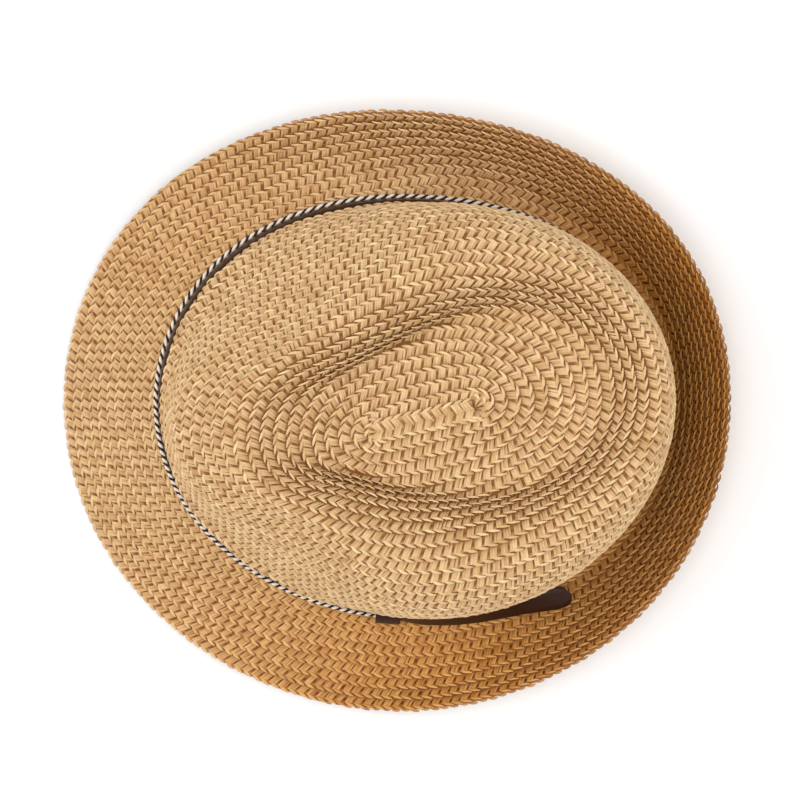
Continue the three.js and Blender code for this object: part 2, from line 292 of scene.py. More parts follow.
# %% Meshes from arrays
def mesh_object(name, points, quads, material, values=None, smooth=True):
    """A mesh from millimetre points and four-sided faces. values are named numbers per point."""
    mesh = bpy.data.meshes.new(name)
    points = np.ascontiguousarray(points, float).reshape(-1, 3) * MM
    quads = np.ascontiguousarray(quads, np.int32).reshape(-1, 4)
    mesh.vertices.add(len(points))
    mesh.vertices.foreach_set("co", points.ravel())
    mesh.loops.add(quads.size)
    mesh.loops.foreach_set("vertex_index", quads.ravel())
    mesh.polygons.add(len(quads))
    mesh.polygons.foreach_set("loop_start", np.arange(0, quads.size, 4, dtype=np.int32))
    mesh.polygons.foreach_set("use_smooth", np.full(len(quads), smooth))
    for key, numbers in (values or {}).items():
        attribute = mesh.attributes.new(key, "FLOAT", "POINT")
        attribute.data.foreach_set("value", np.ascontiguousarray(numbers, np.float32).ravel())
    mesh.update(calc_edges=True)
    mesh.materials.append(material)
    piece = bpy.data.objects.new(name, mesh)
    bpy.context.scene.collection.objects.link(piece)
    print(name, len(quads) * 2, "triangles")
    return piece


def grid_quads(rows, columns, closed_columns=False, start=0):
    """Faces of a grid of points stored row by row."""
    spans = columns if closed_columns else columns - 1
    i, j = np.meshgrid(np.arange(rows - 1), np.arange(spans), indexing="ij")
    j2 = (j + 1) % columns
    corners = [i * columns + j, i * columns + j2, (i + 1) * columns + j2, (i + 1) * columns + j]
    return start + np.stack(corners, -1).reshape(-1, 4)


# %% [markdown]
# ## Shader maths
# Materials can be wired by hand in the shader editor. In a script, a finish is easier to read
# as sums. `Value` wraps one socket and overloads the operators, so that each expression adds
# its own Math nodes to the tree. `Finish` holds one material, and its `node` method adds any
# other kind of node. Colours go through Mix nodes, because a Math node turns a colour grey.

# %% Shader helpers
class Value:
    """A socket that takes part in arithmetic."""

    def __init__(self, finish, socket):
        self.finish = finish
        self.socket = socket

    def maths(self, operation, *others):
        inputs = dict(enumerate((self,) + others))
        return self.finish.node("ShaderNodeMath", {"operation": operation}, inputs)

    def reflected(self, operation, other):
        return self.finish.node("ShaderNodeMath", {"operation": operation}, {0: other, 1: self})

    def __add__(self, other):
        return self.maths("ADD", other)

    def __radd__(self, other):
        return self.reflected("ADD", other)

    def __sub__(self, other):
        return self.maths("SUBTRACT", other)

    def __rsub__(self, other):
        return self.reflected("SUBTRACT", other)

    def __mul__(self, other):
        return self.maths("MULTIPLY", other)

    def __rmul__(self, other):
        return self.reflected("MULTIPLY", other)

    def clamp(self, low=0.0, high=1.0):
        return self.maths("MAXIMUM", low).maths("MINIMUM", high)


class Finish:
    """A material that is built from nodes."""

    def __init__(self, name):
        self.material = bpy.data.materials.new(name)
        self.material.use_nodes = True
        self.tree = self.material.node_tree
        self.shader = self.tree.nodes["Principled BSDF"]

    def node(self, kind, settings=None, inputs=None, output=0):
        """Adds a node, with its settings first and then its sockets. Returns one output."""
        node = self.tree.nodes.new(kind)
        for key, value in (settings or {}).items():
            setattr(node, key, value)
        for key, value in (inputs or {}).items():
            self.feed(node.inputs[key], value)
        return Value(self, node.outputs[output])

    def feed(self, socket, value):
        if isinstance(value, Value):
            self.tree.links.new(value.socket, socket)
        elif isinstance(value, tuple) and len(value) == 3 and socket.type == "RGBA":
            socket.default_value = (*value, 1.0)
        else:
            socket.default_value = value

    def mix(self, factor, a, b):
        """Colour a where factor is 0 and colour b where it is 1."""
        return self.node("ShaderNodeMix", {"data_type": "RGBA"}, {0: factor, 6: a, 7: b}, output=2)

    def place(self):
        return self.node("ShaderNodeTexCoord", output=3)

    def noise(self, scale, detail=2.0, place=None, roughness=0.5):
        inputs = {"Vector": place or self.place(), "Scale": scale, "Detail": detail,
                  "Roughness": roughness}
        return self.node("ShaderNodeTexNoise", inputs=inputs)

    def attribute(self, name):
        return self.node("ShaderNodeAttribute", {"attribute_name": name}, output=2)

    def surface(self, **sockets):
        """Sets the shader's own sockets, by name with underscores for spaces."""
        for key, value in sockets.items():
            self.feed(self.shader.inputs[key.replace("_", " ")], value)
        return self.material

    def bump(self, height, distance, strength=1.0):
        return self.node("ShaderNodeBump", inputs={
            "Height": height, "Distance": distance, "Strength": strength})


def srgb(red, green, blue):
    """A colour as seen on screen, 0 to 255, in the linear numbers that shaders use."""
    parts = [c / 255 for c in (red, green, blue)]
    return tuple(c / 12.92 if c < 0.04045 else ((c + 0.055) / 1.055) ** 2.4 for c in parts)


print("middle grey on screen is", round(srgb(128, 128, 128)[0], 3), "in a shader")


# %% [markdown]
# ## Straw
# Plaited straw is warm and slightly glossy along each strand. No two strands have the same colour:
# some are bleached and some are more golden. Painted shade darkens each splint along its edges and
# where it is tucked under others. An image of straw could give the colours, but it would repeat, and
# it would not know where one splint ends. Here each splint carries a random tone and warmth in
# attributes. `across` runs from -1 to 1 over its width, and `shade` says how deep it is tucked in,
# which sets its painted shade. Where the brim turns up, a further attribute paints a deeper, more
# golden shade. Noise adds fine fibres, and patches that go across many strands.

# %% Straw finish
straw = Finish("straw")
tone = straw.attribute("tone")
warmth = straw.attribute("warmth")
across = straw.attribute("across")
warm_shade = straw.attribute("warm_shade")
patches = straw.noise(30.0, 3.0)
fibres = straw.noise(1100.0, 2.0)
shade = straw.attribute("shade")
# Painted shade: darker along each splint's edges and where it is tucked in.
painted_groove_shade = (across * across * 0.6 - 0.3).clamp().maths("MAXIMUM", shade)
threads = (across * 7.5).maths("SINE") * 0.5 + 0.5
pale = straw.mix(warmth, srgb(235, 206, 154), srgb(235, 197, 154))
deep = straw.mix(warmth, srgb(184, 140, 82), srgb(180, 132, 86))
light = (tone * 0.75 + fibres * 0.3 + patches * 0.2 + threads * 0.14 - 0.12).clamp()
paled = straw.mix(light, deep, pale)
# Painted shade where the brim turns up: deeper, more golden straw.
warm_shade_colour = straw.mix(light, srgb(170, 101, 33), srgb(220, 161, 83))
strand_colour = straw.mix(warm_shade, paled, warm_shade_colour)
# Colours of the painted shade, darkest in the slots.
under = straw.mix(warm_shade, srgb(162, 116, 64), srgb(152, 84, 20))
deepest_painted_shade = straw.mix(warm_shade, srgb(132, 88, 44), srgb(114, 54, 5))
under = straw.mix((shade * 2.5 - 1.7).clamp(), under, deepest_painted_shade)
strand_colour = straw.mix(painted_groove_shade, strand_colour, under)
straw.surface(
    Base_Color=strand_colour,
    Roughness=(0.6 - 0.12 * fibres).clamp(),
    Normal=straw.bump(threads + fibres, 0.0001, 0.6),
    Specular_IOR_Level=0.18)
print("straw has", len(straw.tree.nodes), "nodes")

# %% [markdown]
# ## Straw behind the strands
# Through the slots of the plait one sees other straw, which gets little light. It could be
# left to the render's own shadows, but the slots are so small that these come out too pale.
# A darker and rougher straw gives the dark dots of the real plait. Coarse noise is enough,
# because no splint of it is ever seen whole.

# %% Darker straw behind the strands
backing_finish = Finish("straw_behind")
grain = backing_finish.noise(420.0, 3.0)
backing_finish.surface(
    Base_Color=backing_finish.mix(grain, srgb(112, 64, 24), srgb(170, 114, 54)),
    Roughness=0.8,
    Normal=backing_finish.bump(grain, 0.0003, 0.6))
print("straw behind has", len(backing_finish.tree.nodes), "nodes")

# %% [markdown]
# ## One stitch of braid
# The braid repeats every 4 mm. In one repeat three straw splints run slantwise across the row
# and gather under a thick one, which folds over along the outer edge. The folds make the
# row's scalloped edge. Between the gathered splints of one stitch and the next there is a
# slot, which shows as a dark dot.
#
# Splints could be curves with a bevel, but thousands of curves are slow and each would be a
# closed tube. A splint here is an open ribbon, bent like a gutter turned over, that follows a
# short table of points and gets thinner at its ends. Its back is never seen. A stitch has about
# fifty faces. A coarse one, with two ribbons, does for the inside of the crown.

# %% A stitch
STITCH = 4.1
SPLINT_THICK = 0.36
FOLD_THICK = 0.5
# Columns: repeats along the row, rows across it, lift in mm, width in mm.
SPLINTS = [
    [(0.92, -0.18, -0.50, 0.92), (0.73, 0.14, 0.04, 1.00), (0.53, 0.46, 0.26, 1.10),
     (0.34, 0.78, 0.10, 0.95)],
    [(0.66, -0.18, -0.54, 0.92), (0.48, 0.14, 0.00, 1.00), (0.29, 0.46, 0.22, 1.10),
     (0.12, 0.78, 0.06, 0.95)],
    [(0.41, -0.18, -0.58, 0.92), (0.24, 0.14, -0.04, 1.00), (0.06, 0.46, 0.18, 1.08),
     (-0.10, 0.76, 0.02, 0.95)],
]
FOLD = [(-0.10, 0.60, -0.18, 0.50), (0.10, 0.71, 0.20, 1.10), (0.36, 0.82, 0.44, 1.40),
        (0.62, 0.90, 0.44, 1.30), (0.86, 0.96, 0.18, 0.90), (1.04, 0.99, -0.25, 0.45)]
# What lies behind the slot. Columns: rows across, lift in mm, shade.
BEHIND = [(-0.12, -0.62, 1.1), (0.40, -0.50, 1.1), (0.78, -0.26, 0.6)]
# How much painted shade the tucked-in ends of the splints get.
TUCKED_SHADE = 0.55
TILT = 0.8
# Degrees across a splint, from one edge over its back to the other.
ROUND = (-80, -28, 28, 80)
FULL_ROUND = (-84, -46, 0, 46, 84)
COARSE_ROUND = (-80, 0, 80)


def ribbon(path, thick, row, across):
    """Points (repeats, rows, lift) of a splint that follows a path, one line per path point."""
    path = np.array(path)
    p = path[:, :3] * (STITCH, row, 1)
    forward = np.gradient(p[:, :2], axis=0)
    forward /= np.linalg.norm(forward, axis=1, keepdims=True)
    side = np.stack([-forward[:, 1], forward[:, 0]], 1)
    lines = []
    for degrees in across:
        bend = math.radians(degrees)
        place = p.copy()
        place[:, :2] += side * (path[:, 3:] / 2 * math.sin(bend))
        place[:, 2] += thick * (math.cos(bend) - 1)
        lines.append(place / (STITCH, row, 1))
    return np.stack(lines, 1)


def stitch(row, fine=True):
    """One stitch: points, faces, and for each point its splint, place across that and shade."""
    if fine:
        grids = [ribbon(path, SPLINT_THICK, row, ROUND) for path in SPLINTS]
        grids.append(ribbon(FOLD, FOLD_THICK, row, FULL_ROUND))
        sides = [ROUND] * 3 + [FULL_ROUND]
    else:
        wide = np.array(SPLINTS[1]) * (1, 1, 1, 2.4)
        grids = [ribbon(wide, SPLINT_THICK, row, COARSE_ROUND),
                 ribbon(FOLD[::2] + FOLD[-1:], FOLD_THICK, row, COARSE_ROUND)]
        sides = [COARSE_ROUND] * 2
    side = [np.tile(np.sin(np.radians(degrees)), len(grid)) for degrees, grid in zip(sides, grids)]
    shade = [TUCKED_SHADE * np.clip((0.5 - grid[..., 1]) / 0.68, 0, 1) ** 1.3 for grid in grids]
    grids.append(np.array([[(u, v, lift) for u in (-0.02, 1.02)] for v, lift, _ in BEHIND]))
    side.append(np.zeros(2 * len(BEHIND)))
    shade.append(np.repeat([depth for _, _, depth in BEHIND], 2))
    points, faces, owner, start = [], [], [], 0
    for number, grid in enumerate(grids):
        rows, columns = grid.shape[:2]
        points.append(grid.reshape(-1, 3))
        faces.append(grid_quads(rows, columns, start=start))
        owner.append(np.full(rows * columns, number))
        start += rows * columns
    shade = np.concatenate([values.ravel() for values in shade])
    look = {"across": np.concatenate(side), "shade": shade}
    return np.concatenate(points), np.concatenate(faces), np.concatenate(owner), look


print("faces in a fine and a coarse stitch:", [len(stitch(5.0, fine)[1]) for fine in (True, False)])

# %% [markdown]
# ## Laying the braid
# On the real hat a machine sews the braid to itself as it winds outward. An Array and a Curve
# modifier could bend one stitch along a spiral, but they cannot keep it flat on a sheet that
# curves both ways. So every point of every copy is placed by the map. A path gives, for any
# length along the braid, the direction around the hat and the distance of the row's outer edge
# from the seam. Copies of the stitch follow it. Each is moved and bent a little by seeded
# random numbers, as straw never lies exactly even. `sign` is -1 for the hat's inner face.

# %% Lay stitches along a path
SAMPLES = 720
# The inner face of the braid lies this far behind the outer one, in mm.
INNER_LIFT = -1.75
# Straw lower than this, in mm, is pressed toward the table but never quite onto it.
PRESSED_BELOW = 0.95
PRESSED_TO = 0.05
rng = np.random.default_rng(41)
print("braid's random numbers start from seed 41")


def straw_piece(name, points, faces, owner, look, sign=1.0, warm_shade=0.0):
    """A piece from many stitches: points (stitches, points of a stitch, xyz)."""
    count = len(points)
    warm_shade = np.broadcast_to(np.asarray(warm_shade, float).reshape(-1, 1), (count, points.shape[1]))
    splints = owner.max() + 1
    tone = rng.normal(0.5, 0.2, (count, splints)) + rng.normal(0, 0.07, (count, 1))
    # Painted light and shade: the splints under the fold are a little darker and the fold on top
    # lighter.
    tone[:, :-2] -= 0.06
    tone[:, -2] += 0.16
    warmth = rng.uniform(0, 1, (count, splints))
    quads = faces[None] + (np.arange(count) * points.shape[1])[:, None, None]
    quads = quads.reshape(-1, 4)
    if sign < 0:
        quads = quads[:, ::-1]
    values = {key: np.broadcast_to(numbers, (count, len(numbers))) for key, numbers in look.items()}
    values |= {"tone": np.clip(tone[:, owner], 0, 1), "warmth": warmth[:, owner], "warm_shade": warm_shade}
    piece = mesh_object(name, points, quads, straw.material, values)
    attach(piece, "root")
    return piece


def uneven(local, owner, count):
    """Copies of a stitch, each one and each of its splints moved a little."""
    splints = owner.max() + 1
    loose = rng.normal(0, 1, (count, 1, 3)) * (0.03, 0.02, 0.05)
    springy = rng.normal(0, 1, (count, splints, 3)) * (0.028, 0.02, 0.05)
    place = local[None] + loose + springy[:, owner]
    place[..., 0] += rng.normal(0, 0.045, (count, 1)) * (local[:, 1] - 0.4)
    return place


def above_table(points):
    """Straw that would sink into the table is pressed flat on it instead."""
    low = points[..., 2] < PRESSED_BELOW
    room = PRESSED_BELOW - PRESSED_TO
    sunk = (points[..., 2][low] - PRESSED_BELOW) / room
    points[..., 2][low] = PRESSED_TO + room * np.exp(sunk)
    return points


def longer(values):
    """Values with one more at each end, straight on."""
    return np.concatenate([[2 * values[0] - values[20]], values, [2 * values[-1] - values[-21]]])


def lay(turns, outer_edge, row, name, keep, warm_shade, per_turn=None, lift=0.0, fine=True, sign=1.0):
    """Stitches along a path. turns are angles in order, and outer_edge gives a distance.

    Stitches are equally long, or per_turn of them go once around the hat.
    """
    middle = on_body(turns, outer_edge(turns) - row / 2, np.zeros_like(turns))
    travelled = np.concatenate([[0], np.cumsum(np.linalg.norm(np.diff(middle, axis=0), axis=1))])
    if per_turn:
        turn_ends = travelled[::SAMPLES]
        numbers = np.arange((len(turn_ends) - 1) * per_turn)
        starts = np.interp(numbers / per_turn, np.arange(len(turn_ends)), turn_ends)
    else:
        count = int(travelled[-1] / STITCH)
        starts = np.arange(count) * (travelled[-1] / count)
    local, faces, owner, look = stitch(row, fine)
    starts = starts[keep(np.interp(starts, travelled, turns))]
    place = uneven(local, owner, len(starts))
    length = starts[:, None] + place[..., 0] * STITCH
    turn = np.interp(length, longer(travelled), longer(turns))
    distance = outer_edge(turn) - (1 - place[..., 1]) * row
    height = place[..., 2] + (place[..., 1] - 0.5) * TILT
    points = above_table(on_body(turn, distance, lift + sign * height))
    return straw_piece(name, points, faces, owner, look, sign,
                       warm_shade(np.interp(starts, travelled, turns)))


# %% [markdown]
# ## Rows of the crown
# A first short length of braid lies along the seam. The braid then goes round it again and
# again. Rows could be plain rings, but a sewn braid is one spiral. It moves out by one row in
# half a turn and stays level in the other half. The rows are split into four pieces, so that
# no mesh gets too large, and they stop under the leather strip. The inside of the crown, which
# the picture doesn't show, gets the same rows with the coarse stitch.

# %% Crown braid
CROWN_ROW = 5.45
FIRST_EDGE = 4.1
BAND_COVERS = 7.0


def crown_edge(turn):
    """Outer edge of the braid for an angle that keeps growing with each turn."""
    part = (turn - SEAM_TURN + math.pi / 2) / TAU
    whole = np.floor(part)
    t = np.clip((part - whole) * 2, 0, 1)
    return FIRST_EDGE + CROWN_ROW * (whole + t * t * (3 - 2 * t))


def crown_keep(turn):
    return crown_edge(turn) < head_at(turn) - BAND_COVERS + CROWN_ROW


# The crown gets no painted golden shade.
def no_warm_shade(turn):
    return 0.0 * turn


crown_rows = math.ceil(head_length.max() / CROWN_ROW) + 1
first_turn = SEAM_TURN - math.pi / 2
WALL_STITCHES = 141.65
# Columns: first turn, last turn, stitches in a turn. On the wall the turns are about equally
# long, so the stitches of each turn lie a third of a stitch ahead of those above them.
CROWN_PARTS = [(0, 13, None), (13, 16, None), (16, 21, WALL_STITCHES),
               (21, crown_rows, WALL_STITCHES)]
for part, (first, last, per_turn) in enumerate(CROWN_PARTS):
    span = first_turn + np.linspace(TAU * first, TAU * last, SAMPLES * (last - first) + 1)
    if not per_turn:
        span = span[: np.nonzero(crown_keep(span))[0][-1] + 2]
    lay(span, crown_edge, CROWN_ROW, f"crown_braid_{part + 1}", crown_keep, no_warm_shade, per_turn)
    lay(span, crown_edge, CROWN_ROW, f"crown_inside_{part + 1}",
        lambda turn: crown_edge(turn) < head_at(turn) - 1, no_warm_shade, per_turn,
        lift=INNER_LIFT, fine=False, sign=-1.0)

# %% [markdown]
# ## Where the braid begins
# The first length of braid lies straight in the middle of the dent, with a row on each side of
# its middle line. Both rows point the same way, like the two sides of a feather. At one end
# the braid is folded over, and its splints fan out around the fold. The map cannot be used
# here, because all its directions meet in the seam. The same stitch is laid on a flat place
# instead, and is drawn in towards the middle line at both ends.

# %% First length of braid
START_HALF = 4.8
START_LENGTH = 21.4
START_LIFT = 0.75


def seam_place(along_seam, beside_seam, height):
    """Points on the level floor of the dent, from places along and beside the seam."""
    x = SEAM_MIDDLE[0] - along_seam * math.sin(SEAM_TURN) - beside_seam * math.cos(SEAM_TURN)
    y = SEAM_MIDDLE[1] + along_seam * math.cos(SEAM_TURN) - beside_seam * math.sin(SEAM_TURN)
    return np.stack([x, y, RINGS[0][2][0] + height], -1)


start_stitches = int(2 * START_LENGTH / STITCH)
# Columns: name, which side of the seam, outer or inner face of the hat.
START_PIECES = [("start_right", 1.0, 1.0), ("start_left", -1.0, 1.0),
                ("start_right_inside", 1.0, -1.0), ("start_left_inside", -1.0, -1.0)]
for name, hand, sign in START_PIECES:
    local, faces, owner, look = stitch(START_HALF)
    place = uneven(local, owner, start_stitches)
    along_seam = -START_LENGTH + (np.arange(start_stitches)[:, None] + place[..., 0]) * STITCH
    past = np.clip((np.abs(along_seam) - START_LENGTH + 2.6) / 4.2, 0, 0.999)
    beside_seam = hand * START_HALF * place[..., 1] * np.sqrt(1 - past ** 2)
    height = START_LIFT + place[..., 2] + 0.35 - 0.5 * place[..., 1]
    if sign < 0:
        height = -1.3 - height
    # The first length gets a little less painted shade.
    look["shade"] = look["shade"] * 0.85
    points = seam_place(along_seam, beside_seam, height)
    straw_piece(name, points, faces, owner, look, hand * sign)

# %% [markdown]
# ## The two ends of the first length
# Where the braid is folded back, its splints open out like a fan. They could be placed one by
# one, but five copies of the same stitch, turned about the end of the middle line, give the
# same picture.

# %% The two ends of the first length
def fan(name, middle, first_turn, lift):
    """Splints that spread around one end of the first length of braid."""
    count = 5
    local, faces, owner, look = stitch(START_HALF)
    place = uneven(local, owner, count)
    turn = first_turn + (np.arange(count)[:, None] + 0.85 * place[..., 0]) * (math.pi / count)
    reach = (START_HALF + 0.5) * np.clip(place[..., 1] + 0.12, 0.02, 1.2)
    height = lift + 0.8 * place[..., 2] - 0.75 * place[..., 1]
    points = seam_place(middle + reach * np.cos(turn), reach * np.sin(turn), height)
    straw_piece(name, points, faces, owner, look)


fan("start_fold", -START_LENGTH + 2.0, math.pi / 2, START_LIFT + 0.35)
fan("start_end", START_LENGTH - 1.6, -math.pi / 2, START_LIFT)

# %% [markdown]
# ## Rows of the brim
# The rows of the brim follow its edge. They could continue the crown's spiral, but then the last row
# would run off the edge at one place. From above they look like rings that are level with the edge,
# so rings they are. The crown and the front of the brim are paler in the picture. Where the brim
# turns up, painted shade makes the straw deeper and more golden, for the crown's shade and the warm
# light bounced between the straws there.

# %% Rows of the brim
BRIM_ROW = 4.58
BRIM_ROWS = 11
UNDER_ROWS = 12
# How much painted golden shade the brim's upper side gets in each direction.
# Columns: back, back right, right, front right, front, front left, left, back left.
BRIM_WARM_SHADE = [1.0, 0.9, 0.2, 0.3, 0.1, 0.4, 0.85, 0.85]


def sheltered(turn):
    return around(BRIM_WARM_SHADE, turn)


def out_of_sight(turn):
    return 0.6 + 0.0 * turn


print("most and least golden:", max(BRIM_WARM_SHADE), min(BRIM_WARM_SHADE))

# %% [markdown]
# ## Upper side and underside
# Each row is laid twice, once on the upper side and once on the underside, half a stitch further on.
# A Solidify modifier would only copy the upper side. The straw of the underside gets an even share
# of the painted golden shade, and a row stops where the crown takes over. The last row is so far in
# that only the underside needs it.

# %% Lay the rows of the brim
span = np.linspace(math.pi, math.pi + TAU, SAMPLES + 1)
HALF_STITCH = 0.0156
for number in range(UNDER_ROWS):
    def ring_edge(turn, inward=BRIM_ROW * number):
        """A row of the brim is a ring that follows its edge."""
        return edge_at(turn) - inward

    if number < BRIM_ROWS:
        lay(span, ring_edge, BRIM_ROW, f"brim_braid_{number + 1}",
            lambda turn: ring_edge(turn) > head_at(turn) + 2.5, sheltered)
    lay(span + HALF_STITCH, ring_edge, BRIM_ROW, f"brim_under_{number + 1}",
        lambda turn: ring_edge(turn) > head_at(turn) + 0.5, out_of_sight,
        lift=INNER_LIFT, sign=-1.0)

# %% [markdown]
# ## Behind the braid
# No light comes through the hat in the picture, though the ribbons alone would leave
# pinholes. More ribbons underneath would close them at a high price. A smooth thin shell
# between the outer and the inner braid does it with few faces. These two shells, for crown and
# brim, stand for the two CAD solids.

# %% Shell
# How far behind the braid's outer face the shell's two faces lie, and how low each may come.
SHELL_OUTSIDE, SHELL_INSIDE = -0.75, -1.2
OUTSIDE_LOWEST, INSIDE_LOWEST = 0.75, 0.62


def shell(name, start, end, columns=240, spacing=2.5):
    rows = int((end(map_angles) - start(map_angles)).max() / spacing)
    angle = np.arange(columns) * TAU / columns
    share = np.linspace(0, 1, rows)[:, None]
    a = np.broadcast_to(angle, (rows, columns))
    distance = start(angle) + (end(angle) - start(angle)) * share
    outside = on_body(a, distance, np.full(a.shape, SHELL_OUTSIDE))
    inside = on_body(a, distance, np.full(a.shape, SHELL_INSIDE))[::-1]
    # Where the brim is lowest the shell stays above the stitches that are pressed on the table.
    outside[..., 2] = np.maximum(outside[..., 2], OUTSIDE_LOWEST)
    inside[..., 2] = np.maximum(inside[..., 2], INSIDE_LOWEST)
    points = np.concatenate([outside, inside])
    quads = grid_quads(2 * rows, columns, closed_columns=True)
    piece = mesh_object(name, points, quads, backing_finish.material)
    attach(piece, "root")
    return piece


crown_shell = shell("crown_shell", lambda a: 0 * a + 0.02, head_at)
brim_shell = shell("brim_shell", head_at, lambda a: edge_at(a) - 0.3)
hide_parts("crown")
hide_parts("brim")

# %% [markdown]
# ## Beside the crown
# The strip, the cord, the keeper and the strap end all lie against the wall of the crown. They
# could be placed by plain coordinates, but the wall leans and curves all the way round. It is
# easier to say how far up the wall and how far out from it they lie, exactly as the CAD model
# does. `beside` turns that into points, and also gives the three directions there.

# %% Places beside the foot of the crown
def ring_point(name, angle):
    row = RINGS[NAMES.index(name)]
    x, y = plan(angle, around(row[1], angle))
    return np.stack([x, y, around(row[2], angle)], -1)


def unit(vector):
    return vector / np.linalg.norm(vector, axis=-1, keepdims=True)


def beside(angle, up, out):
    """Points beside the crown's foot, with the wall's up, forward and outward directions."""
    angle = np.asarray(angle, float)
    foot = ring_point("head", angle)
    wall = unit(ring_point("collar", angle) - foot)
    forward = unit(ring_point("head", angle + 0.01) - ring_point("head", angle - 0.01))
    outward = unit(np.cross(forward, wall))
    up, out = np.asarray(up, float), np.asarray(out, float)
    point = foot + wall * up[..., None] + outward * out[..., None]
    return point, wall, forward, outward


print("foot of the wall at the back, in mm:", beside(0.0, 0.0, 0.0)[0].round(1))

# %% [markdown]
# ## Leather
# The strip is smooth dark brown leather with a soft shine. Wrinkles would be wrong, for it
# lies flat and taut. Slow noise shifts its brown and its roughness a little, and small Voronoi
# cells used as bump give it pores less than a millimetre apart.

# %% Leather finish
leather = Finish("leather")
hide = leather.noise(55.0, 4.0)
pores = leather.node("ShaderNodeTexVoronoi", inputs={"Vector": leather.place(), "Scale": 1400.0})
leather.surface(
    Base_Color=leather.mix(hide, srgb(40, 17, 6), srgb(58, 30, 15)),
    Roughness=(0.38 + 0.15 * hide).clamp(),
    Normal=leather.bump(pores, 0.0001, 0.5),
    Specular_IOR_Level=0.24)
print("leather has", len(leather.tree.nodes), "nodes")

# %% [markdown]
# ## Swept strips
# Every trim on this hat is one outline carried along a line: the strip, the loop, the strap end
# and the yarns. A bevelled curve does that too, but it chooses its own twist, and the strap end
# has to turn its face by degrees. `sweep` takes the finished cross-sections and joins them with
# faces. The strip's outline has soft edges and a face that is a little crowned, as cut leather
# has once it is burnished.

# %% Swept strips
def sweep(name, sections, closed, material):
    """A solid through cross-sections (sections, corners, xyz)."""
    count, corners = sections.shape[:2]
    rows = sections if not closed else np.concatenate([sections, sections[:1]])
    quads = grid_quads(len(rows), corners, closed_columns=True)
    if closed:
        quads %= count * corners
    else:
        half = corners // 2
        for end in (0, (count - 1) * corners):
            caps = [[end + k, end + k + 1, end + corners - 2 - k, end + corners - 1 - k]
                    for k in range(half - 1)]
            caps = np.array(caps)
            quads = np.concatenate([quads, caps if end == 0 else caps[:, ::-1]])
    piece = mesh_object(name, sections, quads, material)
    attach(piece, "root")
    return piece


def rounded_strip(width, thick, edge=0.35):
    """Outline (across, proud) of a strip with soft edges, from its back round its face."""
    w, t = width / 2, thick / 2
    return np.array([
        (-w + edge, -t), (w - edge, -t), (w, -t + edge), (w, t - edge), (w - edge, t),
        (w / 2, t + 0.06), (-w / 2, t + 0.06), (-w + edge, t), (-w, t - edge), (-w, -t + edge)])


print("corners in a strip's outline:", len(rounded_strip(10.0, 1.2)))

# %% [markdown]
# ## Leather strip
# A 10 mm strip goes once around the foot of the crown. It could be an open strip whose ends
# overlap, but no joint shows in the picture, so it is one closed sweep close to the wall.

# %% Leather strip
LEATHER = 1.2
BAND_WIDTH = 10.0
BAND_UP, BAND_OUT = 6.8, 1.15
BAND_STEPS = 360
band_turn = np.linspace(0, TAU, BAND_STEPS, endpoint=False)
band_points = []
for up, out in rounded_strip(BAND_WIDTH, LEATHER):
    place = beside(band_turn, np.full(BAND_STEPS, BAND_UP + up), np.full(BAND_STEPS, BAND_OUT + out))
    band_points.append(place[0])
band = sweep("band_strip", np.stack(band_points, 1), True, leather.material)
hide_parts("leather_band")

# %% [markdown]
# ## Cord
# Two thin yarns, one black and one cream, are twisted into a cord. It could be a striped
# tube, but its edge would be straight where the real one is knobbly. Each yarn is a thin tube
# here, and winds around the cord's middle line once every 3.6 mm. The cream yarn is the thicker
# one, as in the picture. Rough noise on both stands for the fuzz of spun fibre.

# %% Cord finish
def yarn_finish(name, dark, light):
    yarn = Finish(name)
    fuzz = yarn.noise(700.0, 3.0)
    yarn.surface(
        Base_Color=yarn.mix(fuzz, dark, light),
        Roughness=0.85,
        Normal=yarn.bump(fuzz, 0.0003, 0.6))
    return yarn.material


black_yarn = yarn_finish("black_yarn", srgb(18, 11, 10), srgb(40, 28, 24))
cream_yarn = yarn_finish("cream_yarn", srgb(226, 208, 192), srgb(248, 236, 224))
print("yarns:", black_yarn.name, "and", cream_yarn.name)


# %% Twisted cord
CORD_RADIUS = 1.0
CORD_UP, CORD_OUT = 1.3, 2.8
CORD_TURNS = 172


def twisted(name, phase, material, thick):
    """A yarn of the cord. thick is half its thickness, and phase is where its winding starts."""
    per_turn, sides = 12, 7
    n = per_turn * CORD_TURNS
    ring = np.linspace(0, TAU, n, endpoint=False)
    middle, wall, forward, outward = beside(ring, np.full(n, CORD_UP), np.full(n, CORD_OUT))
    twist = np.arange(n) * TAU / per_turn + phase
    away = outward * np.cos(twist)[:, None] + wall * np.sin(twist)[:, None]
    line = middle + (CORD_RADIUS - thick) * away
    ahead = unit(np.roll(line, -1, axis=0) - np.roll(line, 1, axis=0))
    side = unit(line - middle)
    other = np.cross(ahead, side)
    corners = [line + thick * (side * math.cos(a) + other * math.sin(a))
               for a in np.arange(sides) * TAU / sides]
    return sweep(name, np.stack(corners, 1), True, material)


twisted("cord_black", 0.0, black_yarn, 0.5)
cord_cream = twisted("cord_cream", math.pi, cream_yarn, 0.66)
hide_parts("trim_cord")

# %% [markdown]
# ## Keeper
# A short loop of the same leather holds the strip, the cord and the strap together on the
# wearer's left. How it is closed doesn't show. It could be a bent strip made with a Solidify
# modifier. A sweep along six points gives the same bend, and its ends stop just short of the
# straw, above the strip and below the cord.

# %% Keeper
KEEPER_AT = math.radians(263.8)
KEEPER_WIDTH = 10.5
